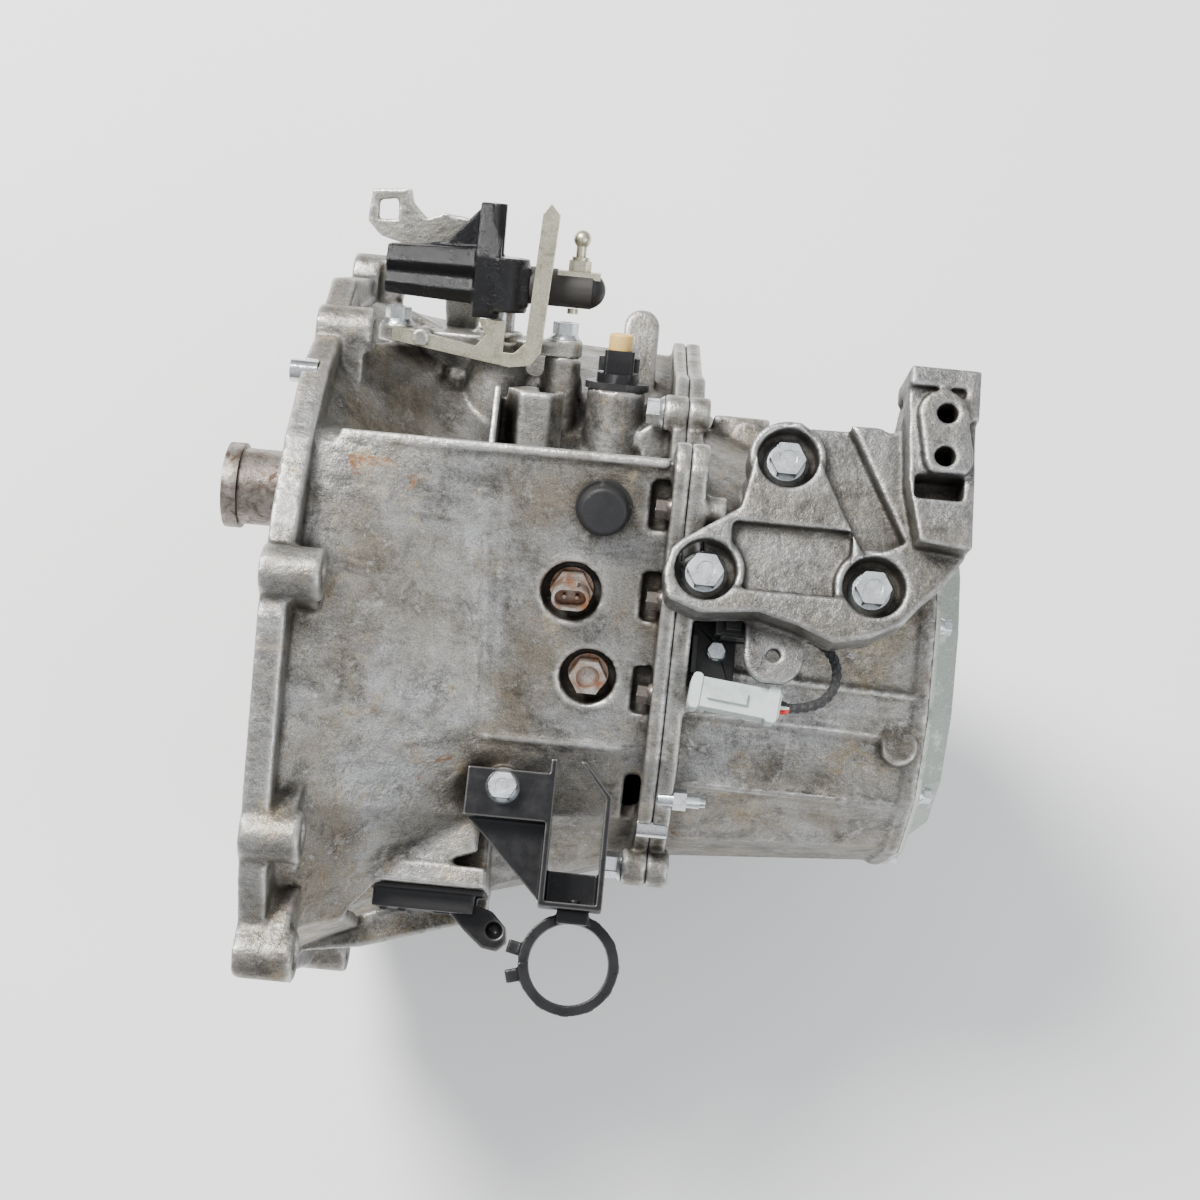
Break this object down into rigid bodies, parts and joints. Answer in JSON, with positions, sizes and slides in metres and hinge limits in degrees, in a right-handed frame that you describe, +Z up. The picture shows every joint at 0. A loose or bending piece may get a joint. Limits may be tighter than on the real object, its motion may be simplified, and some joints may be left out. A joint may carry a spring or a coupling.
{
  "type": "manual transmission",
  "caption": "Transverse manual gearbox with differential: cast clutch and gear housings, engine mount bracket, selector linkage, turning gears, sliding forks and clutch release.",
  "frame": {"origin": "input shaft axis at the plane where the clutch housing meets the engine", "axes": "+X along the input shaft away from the engine to the end cover, +Y to the rear of the vehicle, where the selector is, +Z up through the engine mount pad"},
  "size_m": [0.4505, 0.458, 0.419],
  "materials": {
    "cast_aluminium": "as-cast, stained",
    "bracket_aluminium": "as-cast, satin",
    "selector_aluminium": "die-cast",
    "cover_steel": "pale grey-green, dirty",
    "zinc_bolts": "zinc plated",
    "plug_steel": "plated, rusting",
    "zinc_yellow": "yellow zinc",
    "gear_steel": "ground and oiled",
    "bearing_steel": "polished",
    "brass_rings": "machined",
    "brown_steel": "oily, discoloured",
    "dark_steel": "black, worn edges",
    "black_cast": "gloss black over casting",
    "black_rubber": "matt",
    "black_plastic": "satin",
    "braid": "woven sleeve",
    "grey_connector": "pale grey-green",
    "yellow_plastic": "pale yellow"
  },
  "bodies": {
    "case": {"clutch_housing": "cast_aluminium", "gear_case": "cast_aluminium", "end_cover": "cover_steel", "case_bolts": "zinc_bolts", "small_bolts": "zinc_bolts", "oil_plugs": "plug_steel", "reverse_light_switch": "plug_steel", "blanking_cap": "black_rubber", "speed_sensor": "black_plastic", "speed_sensor_cap": "yellow_plastic", "locating_dowels": "bearing_steel", "mount_bracket": "bracket_aluminium", "mount_bracket_bolts": "zinc_bolts", "support_bracket": "dark_steel", "hose_clamp": "black_plastic", "sensor_plug": "black_plastic", "sensor_loom": "braid", "loom_connector": "grey_connector", "selector_housing": "selector_aluminium", "guide_tube": "gear_steel", "fork_boot": "black_rubber", "fixed_shafts": "gear_steel", "differential_extension": "brown_steel", "bearing_outer_rings": "bearing_steel", "shaft_seals": "black_rubber"},
    "input_shaft": {"input_shaft": "gear_steel", "input_hubs": "gear_steel", "input_blocker_rings": "brass_rings", "input_bearing_inners": "bearing_steel"},
    "output_shaft": {"output_shaft": "gear_steel", "output_gears": "gear_steel", "output_blocker_rings": "brass_rings", "output_bearing_inners": "bearing_steel"},
    "first_gear": {"first_gear_driven": "gear_steel"},
    "second_gear": {"second_gear_driven": "gear_steel"},
    "third_gear": {"third_gear_drive": "gear_steel"},
    "fourth_gear": {"fourth_gear_drive": "gear_steel"},
    "fifth_gear": {"fifth_gear_drive": "gear_steel"},
    "sleeve_low": {"sleeve_1_2": "gear_steel"},
    "sleeve_high": {"sleeve_3_4": "gear_steel"},
    "sleeve_top": {"sleeve_5": "gear_steel"},
    "fork_low": {"fork_1_2": "brown_steel"},
    "fork_high": {"fork_3_4": "brown_steel"},
    "fork_top": {"fork_5": "brown_steel"},
    "reverse_idler": {"reverse_idler": "gear_steel"},
    "differential": {"differential_case": "brown_steel", "ring_gear": "gear_steel", "ring_bolts_and_pin": "zinc_bolts", "final_bearing_inners": "bearing_steel"},
    "left_side_gear": {"side_gear_left": "gear_steel"},
    "right_side_gear": {"side_gear_right": "gear_steel"},
    "upper_planet": {"planet_gear_upper": "gear_steel"},
    "lower_planet": {"planet_gear_lower": "gear_steel"},
    "release_fork": {"release_fork": "dark_steel"},
    "release_bearing": {"release_bearing": "brown_steel"},
    "selector_shaft": {"selector_shaft": "gear_steel"},
    "shift_arm": {"shift_counterweight": "black_cast", "selector_lever_arm": "black_rubber", "ball_stud": "zinc_yellow"},
    "select_lever": {"select_lever": "zinc_yellow"}
  },
  "joints": [
    {"name": "input_spin", "type": "hinge", "parent": "case", "child": "input_shaft", "pos_m": [0, 0, 0], "axis": [1, 0, 0], "continuous": true},
    {"name": "output_spin", "type": "hinge", "parent": "case", "child": "output_shaft", "pos_m": [0, -0.004, -0.072], "axis": [1, 0, 0], "continuous": true},
    {"name": "first_gear_spin", "type": "hinge", "parent": "case", "child": "first_gear", "pos_m": [0, -0.004, -0.072], "axis": [1, 0, 0], "continuous": true},
    {"name": "second_gear_spin", "type": "hinge", "parent": "case", "child": "second_gear", "pos_m": [0, -0.004, -0.072], "axis": [1, 0, 0], "continuous": true},
    {"name": "third_gear_spin", "type": "hinge", "parent": "case", "child": "third_gear", "pos_m": [0, 0, 0], "axis": [1, 0, 0], "continuous": true},
    {"name": "fourth_gear_spin", "type": "hinge", "parent": "case", "child": "fourth_gear", "pos_m": [0, 0, 0], "axis": [1, 0, 0], "continuous": true},
    {"name": "fifth_gear_spin", "type": "hinge", "parent": "case", "child": "fifth_gear", "pos_m": [0, 0, 0], "axis": [1, 0, 0], "continuous": true},
    {"name": "differential_spin", "type": "hinge", "parent": "case", "child": "differential", "pos_m": [0.212, 0.104, -0.12], "axis": [1, 0, 0], "continuous": true},
    {"name": "left_side_spin", "type": "hinge", "parent": "differential", "child": "left_side_gear", "pos_m": [0.212, 0.104, -0.12], "axis": [1, 0, 0], "continuous": true},
    {"name": "right_side_spin", "type": "hinge", "parent": "differential", "child": "right_side_gear", "pos_m": [0.212, 0.104, -0.12], "axis": [1, 0, 0], "continuous": true},
    {"name": "upper_planet_spin", "type": "hinge", "parent": "differential", "child": "upper_planet", "pos_m": [0.212, 0.104, -0.12], "axis": [0, 0, 1], "continuous": true},
    {"name": "lower_planet_spin", "type": "hinge", "parent": "differential", "child": "lower_planet", "pos_m": [0.212, 0.104, -0.12], "axis": [0, 0, 1], "continuous": true},
    {"name": "reverse_idler_spin", "type": "hinge", "parent": "case", "child": "reverse_idler", "pos_m": [0, -0.03911, -0.00971], "axis": [1, 0, 0], "continuous": true},
    {"name": "fork_low_slide", "type": "slide", "parent": "case", "child": "fork_low", "axis": [1, 0, 0], "range_m": [-0.006, 0.006]},
    {"name": "fork_high_slide", "type": "slide", "parent": "case", "child": "fork_high", "axis": [1, 0, 0], "range_m": [-0.006, 0.006]},
    {"name": "fork_top_slide", "type": "slide", "parent": "case", "child": "fork_top", "axis": [1, 0, 0], "range_m": [-0.0055, 0]},
    {"name": "sleeve_low_slide", "type": "slide", "parent": "output_shaft", "child": "sleeve_low", "axis": [1, 0, 0], "range_m": [-0.006, 0.006]},
    {"name": "sleeve_high_slide", "type": "slide", "parent": "input_shaft", "child": "sleeve_high", "axis": [1, 0, 0], "range_m": [-0.006, 0.006]},
    {"name": "sleeve_top_slide", "type": "slide", "parent": "input_shaft", "child": "sleeve_top", "axis": [1, 0, 0], "range_m": [-0.0055, 0]},
    {"name": "release_fork_swing", "type": "hinge", "parent": "case", "child": "release_fork", "pos_m": [0.1, -0.066, 0.03], "axis": [0, 0, 1], "range_deg": [0, 5]},
    {"name": "release_bearing_slide", "type": "slide", "parent": "case", "child": "release_bearing", "axis": [1, 0, 0], "range_m": [-0.0058, 0]},
    {"name": "select_slide", "type": "slide", "parent": "case", "child": "selector_shaft", "axis": [0, 0.9063, 0.4226], "range_m": [-0.0045, 0.0045]},
    {"name": "shift_turn", "type": "hinge", "parent": "selector_shaft", "child": "shift_arm", "pos_m": [0.093, 0.159, 0.06], "axis": [0, 0.9063, 0.4226], "range_deg": [-10, 10]},
    {"name": "select_lever_swing", "type": "hinge", "parent": "case", "child": "select_lever", "pos_m": [0.051, 0.15628, 0.05873], "axis": [0, -0.4226, 0.9063], "range_deg": [-7, 7]}
  ],
  "couplings": [
    {"joint": "first_gear_spin", "follows": "input_spin", "ratio": -0.29268},
    {"joint": "second_gear_spin", "follows": "input_spin", "ratio": -0.52778},
    {"joint": "third_gear_spin", "follows": "output_spin", "ratio": -1.25},
    {"joint": "fourth_gear_spin", "follows": "output_spin", "ratio": -0.93939},
    {"joint": "fifth_gear_spin", "follows": "output_spin", "ratio": -0.76316},
    {"joint": "differential_spin", "follows": "output_spin", "ratio": -0.24658},
    {"joint": "right_side_spin", "follows": "left_side_spin", "ratio": -1},
    {"joint": "upper_planet_spin", "follows": "left_side_spin", "ratio": 1.6},
    {"joint": "lower_planet_spin", "follows": "left_side_spin", "ratio": -1.6},
    {"joint": "sleeve_low_slide", "follows": "fork_low_slide", "ratio": 1},
    {"joint": "sleeve_high_slide", "follows": "fork_high_slide", "ratio": 1},
    {"joint": "sleeve_top_slide", "follows": "fork_top_slide", "ratio": 1},
    {"joint": "release_bearing_slide", "follows": "release_fork_swing", "m_per_rad": -0.066},
    {"joint": "select_lever_swing", "follows": "select_slide", "rad_per_m": 25}
  ]
}
